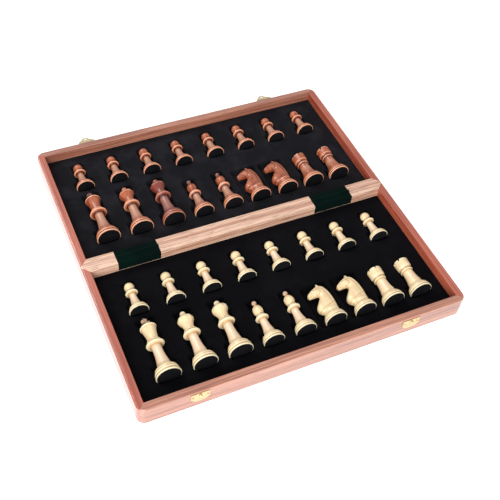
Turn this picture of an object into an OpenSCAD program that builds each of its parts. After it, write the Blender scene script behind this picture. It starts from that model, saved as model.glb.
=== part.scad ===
// Folding chess box, open flat, with its chessmen lying in lined trays.
// X runs along the hinge, Y from the base half to the lid half, Z up.
// The origin is on the ground, under the middle of the hinge line.

/* [Box] */
// Width of the box along the hinge
box_w = 381; // [340:1:460]
// Depth of the open box, both halves together
box_d = 381; // [340:1:460]
// Height of one half, from its board face to its rim
half_h = 26.5; // [26.5:0.5:34]
// Thickness of the side rails and of the outer rails
rail_t = 8.8; // [7:0.2:12]
// Thickness of each of the two rails that meet at the hinge
hinge_rail_t = 9.4; // [8:0.2:13]
// Rounding of the rails' outer edges at the rim
rim_round = 1.6; // [0.6:0.1:2.5]
// Rounding of the rails' outer edges at the board face
foot_round = 1.2; // [0.6:0.1:2.5]
// Chamfer on the rails' inner edge at the rim
rim_chamfer = 0.4; // [0.2:0.1:0.8]
// Gap between the two halves, at the rims when shut and at the hinge rails when open
half_gap = 0.4; // [0.2:0.1:0.6]

/* [Board] */
// Thickness of the panel that carries the board
panel_t = 2.3; // [2:0.1:4]
// Depth of the inlaid dark squares
inlay_t = 0.6; // [0.4:0.1:1]
// Plain strip of panel between the rails and the squares
board_margin = 3.7; // [1:0.1:8]
// Gap round the panel, the inlay and the trays
fit_gap = 0.1; // [0.05:0.05:0.3]

/* [Trays] */
// Depth of the tray's top below the rim
lining_drop = 12; // [11:0.5:14]
// Lining left under the lowest point of a recess
recess_floor = 0.4; // [0.3:0.1:1.5]
// Gap between a chessman and the walls of its recess
piece_gap = 0.35; // [0.3:0.05:0.8]
// Empty length between the rails and the first piece of a row, at the left
row_start = 35.3; // [22:0.1:45]
// Empty length between the last piece of the main row and the rails
main_row_end = 28.2; // [16:0.1:40]
// Empty length between the last pawn and the rails
pawn_row_end = 31.5; // [16:0.1:40]

/* [Chessmen] */
// Height of a king
king_h = 76.5; // [62:0.5:90]
// Base diameter of a king
king_d = 28.4; // [23:0.2:34]
// Height of a queen
queen_h = 72.5; // [60:0.5:86]
// Base diameter of a queen
queen_d = 28; // [23:0.2:33]
// Height of a bishop
bishop_h = 57; // [47:0.5:68]
// Base diameter of a bishop
bishop_d = 24.8; // [20:0.2:30]
// Height of a knight
knight_h = 52; // [43:0.5:60]
// Base diameter of a knight
knight_d = 26; // [21:0.2:31]
// Height of a rook
rook_h = 46.5; // [38:0.5:56]
// Base diameter of a rook
rook_d = 26.8; // [22:0.2:32]
// Height of a pawn
pawn_h = 41; // [34:0.5:48]
// Base diameter of a pawn
pawn_d = 22.6; // [18:0.2:27]
// Thickness of the felt under a chessman
felt_t = 0.8; // [0.5:0.1:1.5]

/* [Hinges] */
// Distance from the left end of the box to the left hinge and clasp
left_fitting = 65; // [50:1:90]
// Distance from the right end of the box to the right hinge and clasp
right_fitting = 71; // [50:1:90]
// Length of a hinge
hinge_l = 42; // [30:1:50]
// Thickness of a hinge leaf
leaf_t = 0.8; // [0.6:0.1:1.2]
// Radius of the hinge barrel
barrel_r = 1.3; // [1.2:0.1:2]
// Radius of the hinge pin
pin_r = 0.6; // [0.5:0.1:0.9]
// Gap round a pin in its bore
pin_gap = 0.05; // [0.02:0.01:0.1]
// Gap between parts that turn past each other
turn_gap = 0.3; // [0.2:0.05:0.5]
// Width of the velvet patch over a hinge
patch_w = 50; // [44:1:60]
// Thickness of the velvet patch
patch_t = 0.8; // [0.5:0.1:1.2]

/* [Clasps] */
// Width of the strike plate and of the hasp plate
plate_w = 20.5; // [18:0.5:26]
// Thickness of the clasp's brass
brass_t = 0.8; // [0.6:0.1:1.2]
// Radius of the clasp's barrel
clasp_barrel_r = 1.1; // [1:0.1:1.5]
// Radius of the clasp's pin
clasp_pin_r = 0.5; // [0.4:0.05:0.6]
// Distance from the clasp's barrel to the hole in the flap
hole_reach = 8.5; // [7:0.5:11]
// Radius of the hole in the flap
hole_r = 2.2; // [1.8:0.1:2.8]
// Radius of the stud that the hole goes over
stud_r = 1.7; // [1.2:0.1:2.2]
// Height of the stud above the strike plate
stud_h = 2.6; // [2:0.1:3.5]
// Angle of the open flap from its shut place
flap_angle = 110; // [60:1:140]

/* [Hidden] */
$fn = 48;
eps = 0.01;

// Half sizes and levels that several pieces share
hw = box_w / 2;
hd = box_d / 2;
inner_w = box_w - 2 * rail_t;
inner_d = hd - rail_t - hinge_rail_t;
tray_top = half_h - lining_drop;
axis_z = half_h + half_gap / 2;
rail_start = half_gap / 2;
fitting_x = [-hw + left_fitting, hw - right_fitting];

// The board: eight squares across both halves, kept square
square = (min(box_w, box_d) - 2 * (rail_t + board_margin)) / 8;

// Kinds of chessmen, and the pieces of the main row from left to right
KING = 0;
QUEEN = 1;
BISHOP = 2;
KNIGHT = 3;
ROOK = 4;
PAWN = 5;
heights = [king_h, queen_h, bishop_h, knight_h, rook_h, pawn_h];
radii = [king_d, queen_d, bishop_d, knight_d, rook_d, pawn_d] / 2;
// Widest radius above the foot, as a share of the base radius
upper = [0.74, 0.74, 0.66, 0.92, 0.74, 0.66];
// Length of the foot, as a share of the height
foot_share = [0.23, 0.23, 0.26, 0.285, 0.31, 0.28];
main_row = [KING, QUEEN, QUEEN, BISHOP, BISHOP, KNIGHT, KNIGHT, ROOK, ROOK];

// Places of the main row, as shares of its length from the king to the last rook
main_share = [0, 0.135, 0.267, 0.395, 0.5215, 0.643, 0.765, 0.8825, 1];
main_from = -inner_w / 2 + row_start;
main_to = inner_w / 2 - main_row_end;
main_x = [for (s = main_share) main_from + (main_to - main_from) * s];
pawn_from = -inner_w / 2 + row_start - 1;
pawn_to = inner_w / 2 - pawn_row_end;
pawn_x = [for (k = [0 : 7]) pawn_from + (pawn_to - pawn_from) * k / 7];

// Free length of a tray in Y, shared out before, between and after the two rows
free_d = inner_d - king_h - pawn_h;
base_before = 0.417;
lid_before = 0.5;
between = 0.2125;
base_main_y = -hd + rail_t + base_before * free_d;
lid_main_y = hinge_rail_t + lid_before * free_d;
pawn_step = king_h + between * free_d;

function lies_at(kind) = panel_t + recess_floor + piece_gap + radii[kind];

// Section of a rail: its inner face on the axis, its outer face at rail_t
module rail_section(chamfer) {
    difference() {
        square([rail_t, half_h]);
        translate([rail_t - rim_round, half_h - rim_round])
            difference() {
                square(rim_round + 1);
                circle(rim_round);
            }
        translate([rail_t - foot_round, foot_round])
            difference() {
                translate([0, -foot_round - 1]) square(foot_round + 1);
                circle(foot_round);
            }
        if (chamfer)
            polygon([[-1, half_h - rim_chamfer - 1], [-1, half_h + 1], [rim_chamfer + 1, half_h + 1]]);
    }
}

// Part of a rounded corner of the frame, turned on the rail's own thickness
module corner(from) {
    rotate(from) rotate_extrude(angle = 45) rail_section(false);
}

// Cuts for the nails of a plate at the outer rail, drilled in along -Y
module nail_holes(level) {
    for (x = fitting_x, side = [-1, 1])
        translate([x + side * nail_x, hd + 1, level])
            rotate([90, 0, 0]) cylinder(r = nail_r + pin_gap, h = nail_l + 1);
}

// Outer rail of a half, on the +Y side
module outer_rail(nail_z) {
    color("indianred") difference() {
        union() {
            translate([-hw + rail_t, hd - rail_t, 0])
                rotate([90, 0, 90]) linear_extrude(box_w - 2 * rail_t) rail_section(true);
            for (side = [0, 1])
                mirror([side, 0, 0]) translate([-hw + rail_t, hd - rail_t, 0]) corner(90);
        }
        nail_holes(nail_z);
    }
}

// Side rail of a half at +X, mitred to the hinge rail
module side_rail() {
    color("peru") difference() {
        union() {
            translate([hw - rail_t, hd - rail_t, 0])
                rotate([90, 0, 0]) linear_extrude(hd - rail_t - rail_start) rail_section(true);
            translate([hw - rail_t, hd - rail_t, 0]) corner(0);
        }
        translate([0, 0, -1]) linear_extrude(half_h + 2) polygon([
            [hw - rail_t - 1, hinge_rail_t + (hinge_rail_t - rail_start) / rail_t],
            [hw - rail_t - 1, -1], [hw + 1, -1],
            [hw + 1, rail_start - (hinge_rail_t - rail_start) / rail_t],
        ]);
    }
}

// Section across the whole box, with its four rounded outer edges
module box_section() {
    difference() {
        translate([-hw, 0]) square([box_w, half_h]);
        for (side = [-1, 1]) {
            translate([side * (hw - rim_round), half_h - rim_round])
                difference() {
                    translate([side < 0 ? -rim_round - 1 : 0, 0]) square(rim_round + 1);
                    circle(rim_round);
                }
            translate([side * (hw - foot_round), foot_round])
                difference() {
                    translate([side < 0 ? -foot_round - 1 : 0, -foot_round - 1]) square(foot_round + 1);
                    circle(foot_round);
                }
        }
    }
}

// The pocket holds the leaf, the velvet on it and a little air above the velvet
pocket_sink = 0.4;
pocket_d = leaf_t + patch_t + pocket_sink;
leaf_z = half_h - pocket_d;
velvet_z = leaf_z + leaf_t;
leaf_reach = hinge_rail_t - patch_t - fit_gap;
screw_r = 0.75;
screw_head_r = 1.5;
screw_l = 8;
screw_pitch = 14;
screw_y = 5.2;

// Hinge rail of a half on the +Y side, with pockets for the leaves and the velvet
module hinge_rail() {
    color("rosybrown") difference() {
        intersection() {
            linear_extrude(half_h) polygon([
                [-hw, rail_start], [hw, rail_start],
                [hw - rail_t, hinge_rail_t], [-hw + rail_t, hinge_rail_t],
            ]);
            translate([0, hinge_rail_t + 1, 0]) rotate([90, 0, 0])
                linear_extrude(hinge_rail_t + 2) box_section();
        }
        translate([-inner_w / 2, -1, -1]) cube([inner_w, hinge_rail_t + 2, panel_t + 1]);
        for (x = fitting_x) {
            translate([x - patch_w / 2 - fit_gap, -1, leaf_z])
                cube([patch_w + 2 * fit_gap, hinge_rail_t + 2, pocket_d + 1]);
            translate([x - patch_w / 2 - fit_gap, hinge_rail_t - patch_t, tray_top])
                cube([patch_w + 2 * fit_gap, patch_t + 1, half_h]);
            translate([x - patch_w / 2 - fit_gap, 0, axis_z])
                rotate([0, 90, 0]) cylinder(r = barrel_r + turn_gap, h = patch_w + 2 * fit_gap);
            for (k = [-1 : 1])
                translate([x + k * screw_pitch, screw_y, leaf_z - screw_l])
                    cylinder(r = screw_r + pin_gap, h = screw_l + 1, $fn = 24);
        }
    }
}

// Each pocket keeps this far inside its square, so that a thin neck parts it from its neighbours
neck = 0.05;

// Panel of a half on the +Y side, with pockets for the dark squares
module panel(odd) {
    color("burlywood") difference() {
        translate([-inner_w / 2 + fit_gap, rail_start, 0])
            cube([inner_w - 2 * fit_gap, hd - rail_t - fit_gap - rail_start, panel_t]);
        for (i = [0 : 7], j = [0 : 3])
            if ((i + j + odd) % 2 == 0)
                translate([(i - 4) * square + neck, max(j * square + neck, rail_start), -1])
                    cube([square - 2 * neck, square - (j == 0 ? rail_start + neck : 2 * neck), inlay_t + 1]);
    }
}

// The dark squares of a half on the +Y side, each a separate veneer
module dark_squares(odd) {
    inset = 2 * neck;
    color("saddlebrown")
        for (i = [0 : 7], j = [0 : 3])
            if ((i + j + odd) % 2 == 0)
                translate([(i - 4) * square + inset, max(j * square + inset, rail_start), 0])
                    cube([square - 2 * inset, square - (j == 0 ? rail_start + inset : 2 * inset), inlay_t]);
}

// Room that a chessman needs, from its lying axis up past the tray's top
module recess(kind) {
    r = radii[kind] + piece_gap;
    ru = radii[kind] * upper[kind] + piece_gap;
    foot = heights[kind] * foot_share[kind] + piece_gap;
    all = heights[kind] + piece_gap;
    up = half_h;
    rotate([-90, 0, 0]) {
        translate([0, 0, -piece_gap]) cylinder(r = r, h = foot + piece_gap);
        if (kind != KNIGHT) cylinder(r = ru, h = all);
    }
    translate([-r, -piece_gap, 0]) cube([2 * r, foot + piece_gap, up]);
    if (kind == KNIGHT) {
        back = head_back + piece_gap;
        face = head_face + piece_gap;
        deep = head_t / 2 + piece_gap;
        translate([-face, 0, -deep]) cube([face + back, all, up + deep]);
    } else {
        translate([-ru, 0, 0]) cube([2 * ru, all, up]);
    }
}

// Lined tray with a recess for each chessman of a half
module tray(from_y, to_y, main_y) {
    color("black") difference() {
        translate([-inner_w / 2 + fit_gap, from_y + fit_gap, panel_t])
            cube([inner_w - 2 * fit_gap, to_y - from_y - 2 * fit_gap, tray_top - panel_t]);
        for (k = [0 : len(main_row) - 1])
            translate([main_x[k], main_y, lies_at(main_row[k])]) recess(main_row[k]);
        for (x = pawn_x)
            translate([x, main_y + pawn_step, lies_at(PAWN)]) recess(PAWN);
    }
}

// Leaf with its knuckles; knuckles is a list of [from, to] along X from the middle
module leaf(knuckles, others) {
    difference() {
        union() {
            translate([-hinge_l / 2, 0, leaf_z]) cube([hinge_l, leaf_reach, leaf_t]);
            for (k = knuckles) {
                translate([k[0], 0, axis_z]) rotate([0, 90, 0]) cylinder(r = barrel_r, h = k[1] - k[0]);
                translate([k[0], 0, leaf_z]) cube([k[1] - k[0], barrel_r, axis_z - leaf_z]);
            }
        }
        for (k = others)
            translate([k[0] - turn_gap, -barrel_r - 1, axis_z - barrel_r - 2])
                cube([k[1] - k[0] + 2 * turn_gap, 2 * barrel_r + 1 + turn_gap, 2 * barrel_r + 4]);
        translate([-hinge_l / 2 - 1, 0, axis_z])
            rotate([0, 90, 0]) cylinder(r = pin_r + pin_gap, h = hinge_l + 2, $fn = 24);
        for (k = [-1 : 1])
            translate([k * screw_pitch, screw_y, leaf_z - eps])
                cylinder(r1 = screw_r + pin_gap, r2 = screw_head_r + pin_gap, h = leaf_t + 2 * eps, $fn = 24);
    }
}

knuckle = hinge_l / 3;
outer_knuckles = [[-hinge_l / 2, -knuckle / 2], [knuckle / 2, hinge_l / 2]];
middle_knuckle = [[-knuckle / 2 + turn_gap, knuckle / 2 - turn_gap]];

// Leaves of a half on the +Y side
module hinge_leaves(knuckles, others) {
    color("goldenrod") for (x = fitting_x) translate([x, 0, 0]) leaf(knuckles, others);
}

module hinge_pins() {
    color("gold") for (x = fitting_x)
        translate([x - hinge_l / 2, 0, axis_z]) rotate([0, 90, 0]) cylinder(r = pin_r, h = hinge_l, $fn = 24);
}

// Velvet over a leaf and down the hinge rail's inner face, on the +Y side
module velvet_patches() {
    hang = 0.3;
    color("darkgreen") for (x = fitting_x) translate([x - patch_w / 2, 0, 0]) {
        translate([0, barrel_r + turn_gap + 0.3, velvet_z])
            cube([patch_w, hinge_rail_t - barrel_r - turn_gap - 0.3, patch_t]);
        translate([0, hinge_rail_t - patch_t + fit_gap, tray_top + hang])
            cube([patch_w, patch_t - fit_gap, velvet_z + patch_t - tray_top - hang]);
    }
}

// Nails of the clasps
nail_r = 0.6;
nail_l = 6;
nail_head_r = 1.2;
nail_head_t = 0.5;
nail_x = 7.9;
// Levels on the outer rails, and the clasp's barrel in front of them
clasp_drop = 2.4;
clasp_off = brass_t + turn_gap + brass_t / 2 + 0.1;
stud_z = half_h + half_gap + clasp_drop - hole_reach;
strike_nail_z = stud_z - 3.2;
hasp_nail_z = half_h - clasp_drop - 5;

module nail() {
    rotate([90, 0, 0]) {
        cylinder(r = nail_r, h = nail_l, $fn = 24);
        translate([0, 0, -brass_t - nail_head_t]) cylinder(r = nail_head_r, h = nail_head_t, $fn = 24);
        translate([0, 0, -brass_t - eps]) cylinder(r = nail_r, h = brass_t + 2 * eps, $fn = 24);
    }
}

module screw() {
    translate([0, 0, -screw_l]) cylinder(r = screw_r, h = screw_l, $fn = 24);
    translate([0, 0, -eps]) cylinder(r = screw_r, h = 2 * eps, $fn = 24);
    cylinder(r1 = screw_r, r2 = screw_head_r, h = leaf_t, $fn = 24);
}

// Hinge screws and clasp nails of a half on the +Y side
module fixings(nail_z) {
    color("gold") for (x = fitting_x) {
        for (k = [-1 : 1]) translate([x + k * screw_pitch, screw_y, leaf_z]) screw();
        for (side = [-1, 1]) translate([x + side * nail_x, hd, nail_z]) nail();
    }
}

// Strike plate: a shield on the wall, with the stud that the flap goes over
module strike_plate() {
    top = half_h - rim_round - 1;
    shoulder = stud_z - 6;
    tip = stud_z - 11;
    tip_w = 5;
    difference() {
        rotate([90, 0, 0]) translate([0, 0, -brass_t]) linear_extrude(brass_t)
            polygon([
                [-plate_w / 2, top], [-plate_w / 2, shoulder], [-tip_w, tip], [tip_w, tip],
                [plate_w / 2, shoulder], [plate_w / 2, top],
            ]);
        for (side = [-1, 1])
            translate([side * nail_x, brass_t + 1, strike_nail_z])
                rotate([90, 0, 0]) cylinder(r = nail_r + pin_gap, h = brass_t + 2, $fn = 24);
    }
    translate([0, brass_t - eps, stud_z]) rotate([-90, 0, 0]) {
        cylinder(r = stud_r, h = stud_h - 0.6 + eps, $fn = 32);
        translate([0, 0, stud_h - 0.6 + eps]) cylinder(r1 = stud_r, r2 = stud_r - 0.6, h = 0.6, $fn = 32);
    }
}

module strike_plates() {
    mirror([0, 1, 0]) color("gold") for (x = fitting_x) translate([x, hd, 0]) strike_plate();
}

clasp_knuckle = 6.4;

// Hasp plate: nailed to the lid, with two knuckles for the flap
module hasp_plate() {
    top = half_h - clasp_drop;
    low = top - 8.4;
    difference() {
        union() {
            translate([-plate_w / 2, 0, low]) cube([plate_w, brass_t, top - low]);
            for (side = [-1, 1])
                translate([side < 0 ? -plate_w / 2 : clasp_knuckle, clasp_off, top])
                    rotate([0, 90, 0]) cylinder(r = clasp_barrel_r, h = plate_w / 2 - clasp_knuckle, $fn = 32);
        }
        translate([-clasp_knuckle, -1, top - clasp_barrel_r - turn_gap])
            cube([2 * clasp_knuckle, clasp_off + 5, 10]);
        translate([-plate_w / 2 - 1, clasp_off, top])
            rotate([0, 90, 0]) cylinder(r = clasp_pin_r + pin_gap, h = plate_w + 2, $fn = 24);
        for (side = [-1, 1])
            translate([side * nail_x, brass_t + 1, hasp_nail_z])
                rotate([90, 0, 0]) cylinder(r = nail_r + pin_gap, h = brass_t + 2, $fn = 24);
    }
}

module hasp_plates() {
    color("gold") for (x = fitting_x) translate([x, hd, 0]) hasp_plate();
}

module clasp_pins() {
    color("goldenrod") for (x = fitting_x)
        translate([x - plate_w / 2, hd + clasp_off, half_h - clasp_drop])
            rotate([0, 90, 0]) cylinder(r = clasp_pin_r, h = plate_w, $fn = 24);
}

// Flap drawn shut, standing up from its barrel, then turned open
module flap(x) {
    tip_r = hole_r + 2.2;
    root = clasp_knuckle - turn_gap;
    color("gold") translate([x, hd + clasp_off, half_h - clasp_drop]) rotate([-flap_angle, 0, 0])
        difference() {
            union() {
                translate([-root, 0, 0]) rotate([0, 90, 0]) cylinder(r = clasp_barrel_r, h = 2 * root, $fn = 32);
                rotate([90, 0, 0]) translate([0, 0, -brass_t / 2]) linear_extrude(brass_t) {
                    polygon([
                        [-root, 0], [root, 0], [root, 2.6], [plate_w / 2 - 1, 3.2], [tip_r, hole_reach],
                        [-tip_r, hole_reach], [-plate_w / 2 + 1, 3.2], [-root, 2.6],
                    ]);
                    translate([0, hole_reach]) circle(tip_r);
                }
            }
            translate([0, 2, hole_reach]) rotate([90, 0, 0]) cylinder(r = hole_r, h = 4, $fn = 32);
            translate([-root - 1, 0, 0])
                rotate([0, 90, 0]) cylinder(r = clasp_pin_r + pin_gap, h = 2 * root + 2, $fn = 24);
        }
}

// Turned outlines as [radius, height] points, from the felt up

// Foot of radius r and length f, ending at neck radius n: a band, a groove, a round step and a cove
function foot(r, f, n) = concat(
    [[0, felt_t], [0.97 * r, felt_t]],
    [for (a = [-60 : 30 : 60]) [0.94 * r + 0.06 * r * cos(a), felt_t + 0.135 * f + 0.135 * f * sin(a)]],
    [[0.9 * r, 0.34 * f]],
    [for (a = [0 : 18 : 90]) [0.66 * r + 0.27 * r * cos(a), (0.36 + 0.24 * sin(a)) * f]],
    [for (s = [0.2 : 0.2 : 1]) [n + (0.66 * r - n) * pow(1 - s, 1.6), (0.6 + 0.4 * s) * f]]
);

// Disc with a round edge, radius r and half thickness t, at height z
function bead(r, t, z) = [for (a = [-90 : 45 : 90]) [r - t + t * cos(a), z + t * sin(a)]];

// Curve between two points, drawn in by waist at its middle
function taper(p, q, waist) =
    [for (s = [0.2 : 0.2 : 0.8]) [p[0] + (q[0] - p[0]) * s - waist * sin(180 * s), p[1] + (q[1] - p[1]) * s]];

// Round head of radius r centred at height z, from angle a up to the axis
function ball(r, z, a) = [for (k = [0 : 6]) [r * cos(a + (90 - a) * k / 6), z + r * sin(a + (90 - a) * k / 6)]];

function king_outline(r, h) = concat(
    foot(r, 0.23 * h, 0.5 * r), taper([0.5 * r, 0.23 * h], [0.38 * r, 0.52 * h], 0.05 * r),
    [[0.4 * r, 0.525 * h]], bead(0.72 * r, 0.018 * h, 0.548 * h),
    bead(0.56 * r, 0.014 * h, 0.59 * h), [[0.43 * r, 0.612 * h]],
    taper([0.43 * r, 0.612 * h], [0.64 * r, 0.83 * h], 0.04 * r),
    [[0.65 * r, 0.84 * h], [0.62 * r, 0.86 * h], [0.5 * r, 0.878 * h], [0.3 * r, 0.888 * h],
     [0.2 * r, 0.894 * h], [0, 0.894 * h]]
);

function queen_outline(r, h) = concat(
    foot(r, 0.23 * h, 0.5 * r), taper([0.5 * r, 0.23 * h], [0.37 * r, 0.54 * h], 0.05 * r),
    [[0.39 * r, 0.545 * h]], bead(0.7 * r, 0.018 * h, 0.57 * h),
    bead(0.54 * r, 0.015 * h, 0.612 * h), [[0.4 * r, 0.635 * h]],
    taper([0.4 * r, 0.635 * h], [0.65 * r, 0.81 * h], 0.05 * r),
    [[0.665 * r, 0.825 * h], [0.655 * r, 0.845 * h], [0.56 * r, 0.873 * h], [0.42 * r, 0.892 * h],
     [0.2 * r, 0.903 * h]],
    ball(0.048 * h, 0.952 * h, -60)
);

function bishop_outline(r, h) = concat(
    foot(r, 0.26 * h, 0.5 * r), taper([0.5 * r, 0.26 * h], [0.34 * r, 0.54 * h], 0.05 * r),
    [[0.36 * r, 0.545 * h]], bead(0.62 * r, 0.02 * h, 0.575 * h),
    bead(0.47 * r, 0.016 * h, 0.62 * h), [[0.32 * r, 0.645 * h]],
    [for (a = [-50 : 20 : 70]) [0.47 * r * cos(a), 0.76 * h + 0.13 * h * sin(a)]],
    [[0.12 * r, 0.896 * h]], ball(0.05 * h, 0.95 * h, -60)
);

function rook_outline(r, h) = concat(
    foot(r, 0.31 * h, 0.6 * r), taper([0.6 * r, 0.31 * h], [0.46 * r, 0.66 * h], 0.04 * r),
    bead(0.58 * r, 0.02 * h, 0.69 * h), [[0.5 * r, 0.715 * h], [0.6 * r, 0.76 * h], [0.63 * r, 0.8 * h],
     [0.65 * r, h - 0.4], [0.63 * r, h], [0.46 * r, h], [0.44 * r, 0.93 * h], [0, 0.93 * h]]
);

function pawn_outline(r, h) = concat(
    foot(r, 0.28 * h, 0.46 * r), taper([0.46 * r, 0.28 * h], [0.33 * r, 0.62 * h], 0.03 * r),
    [[0.35 * r, 0.625 * h]], bead(0.64 * r, 0.022 * h, 0.655 * h), [[0.34 * r, 0.69 * h]],
    ball(0.14 * h, 0.86 * h, -60)
);

function outline(kind, r, h) =
    kind == KING ? king_outline(r, h) : kind == QUEEN ? queen_outline(r, h) :
    kind == BISHOP ? bishop_outline(r, h) : kind == ROOK ? rook_outline(r, h) : pawn_outline(r, h);

// Horse's head: its side view faces -X; sizes as shares of the knight's height
head_t = 13;
head_back = 0.205 * knight_h;
head_face = 0.33 * knight_h;
horse = [
    [-0.2, 0.27], [-0.262, 0.325], [-0.272, 0.4], [-0.235, 0.445], [-0.14, 0.55], [-0.09, 0.62],
    [-0.12, 0.65], [-0.2, 0.645], [-0.28, 0.645], [-0.302, 0.67], [-0.306, 0.73], [-0.298, 0.78],
    [-0.268, 0.85], [-0.135, 0.94], [-0.04, 0.97], [0.018, 1], [0.065, 0.988], [0.12, 0.96],
    [0.158, 0.83], [0.19, 0.69], [0.203, 0.5], [0.19, 0.35], [0.18, 0.3], [0.18, 0.26],
];
// The horse's half thickness at the foot, the cheek and the poll
horse_front = [[-0.5, 0.25], [-0.5, 0.62], [-0.42, 0.8], [-0.24, 1.01]];

module knight(r, h) {
    rotate_extrude() polygon(concat(
        foot(r, 0.27 * h, 0.7 * r), [[0.68 * r, 0.28 * h], [0, 0.28 * h]]
    ));
    intersection() {
        rotate([90, 0, 0]) translate([0, 0, -head_t / 2]) linear_extrude(head_t) polygon(horse * h);
        rotate([90, 0, 90]) translate([0, 0, -h]) linear_extrude(2 * h) polygon(concat(
            [for (p = horse_front) [p[0] * head_t, p[1] * h]],
            [for (k = [len(horse_front) - 1 : -1 : 0]) [-horse_front[k][0] * head_t, horse_front[k][1] * h]]
        ));
    }
}

module king_cross(r, h) {
    arm = 0.36 * r;
    from = 0.885 * h;
    translate([-0.12 * r, -0.12 * r, from]) cube([0.24 * r, 0.24 * r, h - from]);
    translate([-arm, -0.12 * r, from + 0.038 * h]) cube([2 * arm, 0.24 * r, 0.046 * h]);
}

// A chessman standing on the origin: its felt, then its turned body
module standing(kind) {
    r = radii[kind];
    h = heights[kind];
    cylinder(r = 0.92 * r, h = felt_t);
    difference() {
        union() {
            if (kind == KNIGHT) knight(r, h);
            else rotate_extrude() polygon(outline(kind, r, h));
            if (kind == KING) king_cross(r, h);
        }
        if (kind == ROOK)
            for (a = [0, 60, 120])
                rotate(a) translate([-r, -0.08 * r, 0.93 * h]) cube([2 * r, 0.16 * r, h]);
        if (kind == BISHOP)
            translate([0.12 * r, -r, 0.82 * h]) rotate([0, -35, 0]) cube([r, 2 * r, 0.02 * h]);
    }
}

// A chessman lying in its tray, head towards +Y
module lying(kind, x, y) {
    translate([x, y, lies_at(kind)]) rotate([-90, 0, 0]) standing(kind);
}

module light(kind, k) {
    color("wheat") lying(kind, kind == PAWN ? pawn_x[k] : main_x[k], base_main_y + (kind == PAWN ? pawn_step : 0));
}

module dark(kind, k) {
    color("sienna") lying(kind, kind == PAWN ? pawn_x[k] : main_x[k], lid_main_y + (kind == PAWN ? pawn_step : 0));
}

module front() mirror([0, 1, 0]) children();

// Names of the chessmen of one side, in the order of main_row, then the pawns
names = ["king", "queen_1", "queen_2", "bishop_1", "bishop_2", "knight_1", "knight_2", "rook_1", "rook_2"];

front() outer_rail(strike_nail_z);  // base_front_rail
front() mirror([1, 0, 0]) side_rail();  // base_left_rail
front() side_rail();  // base_right_rail
front() hinge_rail();  // base_hinge_rail
front() panel(1);  // base_panel
front() dark_squares(1);  // base_dark_squares
tray(-hd + rail_t, -hinge_rail_t, base_main_y);  // base_tray
outer_rail(hasp_nail_z);  // lid_rear_rail
mirror([1, 0, 0]) side_rail();  // lid_left_rail
side_rail();  // lid_right_rail
hinge_rail();  // lid_hinge_rail
panel(0);  // lid_panel
dark_squares(0);  // lid_dark_squares
tray(hinge_rail_t, hd - rail_t, lid_main_y);  // lid_tray
front() hinge_leaves(outer_knuckles, middle_knuckle);  // base_hinge_leaves
hinge_leaves(middle_knuckle, outer_knuckles);  // lid_hinge_leaves
hinge_pins();
front() velvet_patches();  // base_velvet_patches
velvet_patches();  // lid_velvet_patches
strike_plates();
hasp_plates();
flap(fitting_x[0]);  // left_flap
flap(fitting_x[1]);  // right_flap
clasp_pins();
front() fixings(strike_nail_z);  // base_fixings
fixings(hasp_nail_z);  // lid_fixings
for (k = [0 : 8]) {
    light(main_row[k], k);
    dark(main_row[k], k);
}
for (k = [0 : 7]) {
    light(PAWN, k);
    dark(PAWN, k);
}
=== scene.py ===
"""A folding chess box lying open, its chessmen in black velvet trays.

The CAD model is the frame; this file gives each piece its finished surface.
Sizes are in metres, in the box's own frame: X along the hinge, Y from the
base half to the lid half, Z up, with the ground at zero.
"""

import bpy
import numpy as np
from mathutils import Matrix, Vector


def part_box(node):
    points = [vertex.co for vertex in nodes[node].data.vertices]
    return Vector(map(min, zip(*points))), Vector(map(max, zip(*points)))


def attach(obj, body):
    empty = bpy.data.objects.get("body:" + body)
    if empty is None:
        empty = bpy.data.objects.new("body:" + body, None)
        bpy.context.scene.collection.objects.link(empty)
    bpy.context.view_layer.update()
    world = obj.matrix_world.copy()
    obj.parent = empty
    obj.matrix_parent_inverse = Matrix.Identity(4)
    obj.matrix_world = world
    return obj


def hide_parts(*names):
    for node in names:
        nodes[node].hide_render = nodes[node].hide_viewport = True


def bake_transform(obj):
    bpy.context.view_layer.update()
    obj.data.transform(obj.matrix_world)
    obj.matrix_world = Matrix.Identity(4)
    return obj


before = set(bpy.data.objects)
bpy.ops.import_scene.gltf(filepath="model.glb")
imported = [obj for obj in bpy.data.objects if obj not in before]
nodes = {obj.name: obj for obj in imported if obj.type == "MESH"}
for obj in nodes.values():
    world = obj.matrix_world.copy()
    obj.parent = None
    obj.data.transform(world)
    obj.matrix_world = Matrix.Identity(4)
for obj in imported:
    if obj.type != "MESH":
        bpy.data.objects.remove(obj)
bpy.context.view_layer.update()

# The ground: a sheet of white paper that the open box lies on. It isn't part of
# the object, and it is clear from below, so that the board can be looked at.

scene = bpy.context.scene
scene.view_settings.view_transform = "Standard"


def surface(name, points, *parts):
    """A mesh object of some points and one or more arrays of faces, each array with its own number
    of corners."""
    faces = [face for part in parts for face in np.asarray(part).tolist()]
    mesh = bpy.data.meshes.new(name)
    mesh.from_pydata(np.asarray(points, float).tolist(), [], faces)
    mesh.update()
    piece = bpy.data.objects.new(name, mesh)
    scene.collection.objects.link(piece)
    return piece


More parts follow.
